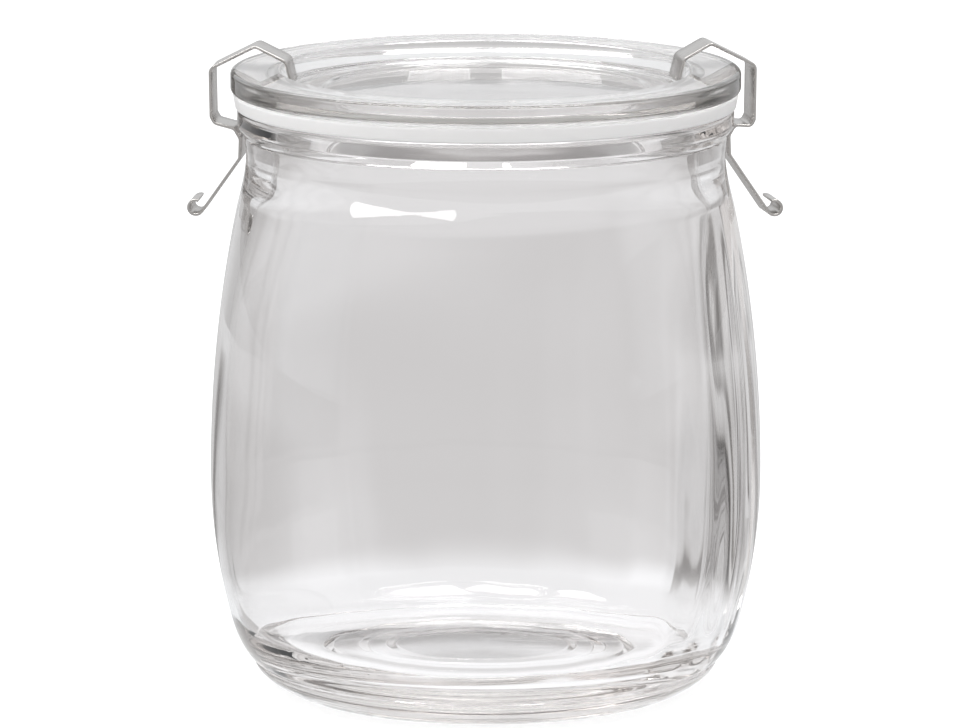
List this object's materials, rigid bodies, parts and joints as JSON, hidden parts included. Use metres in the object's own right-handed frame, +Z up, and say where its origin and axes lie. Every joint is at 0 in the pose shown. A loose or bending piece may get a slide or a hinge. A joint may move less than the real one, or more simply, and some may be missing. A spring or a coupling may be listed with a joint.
{
  "type": "preserving jar",
  "caption": "Small empty tulip-shaped glass preserving jar with a recessed glass lid, a white sealing ring and steel spring clips.",
  "frame": {"origin": "middle of the foot's bearing ring, on the surface that the jar stands on", "axes": "+Z up along the jar's axis, +X towards the right-hand clip's side, -Y towards the viewer of the picture"},
  "size_m": [0.082, 0.0758, 0.0887],
  "materials": {
    "jar_glass": "pressed and blown soda-lime glass, clear and smooth, with faint waviness",
    "lid_glass": "pressed soda-lime glass, clear and smooth",
    "seal_white": "moulded translucent white seal, satin",
    "clip_steel": "rolled and tumbled stainless spring strip, satin"
  },
  "bodies": {
    "root": {"jar": "jar_glass", "sealing_ring": "seal_white", "lid": "lid_glass", "clip_left": "clip_steel", "clip_right": "clip_steel"}
  },
  "joints": []
}
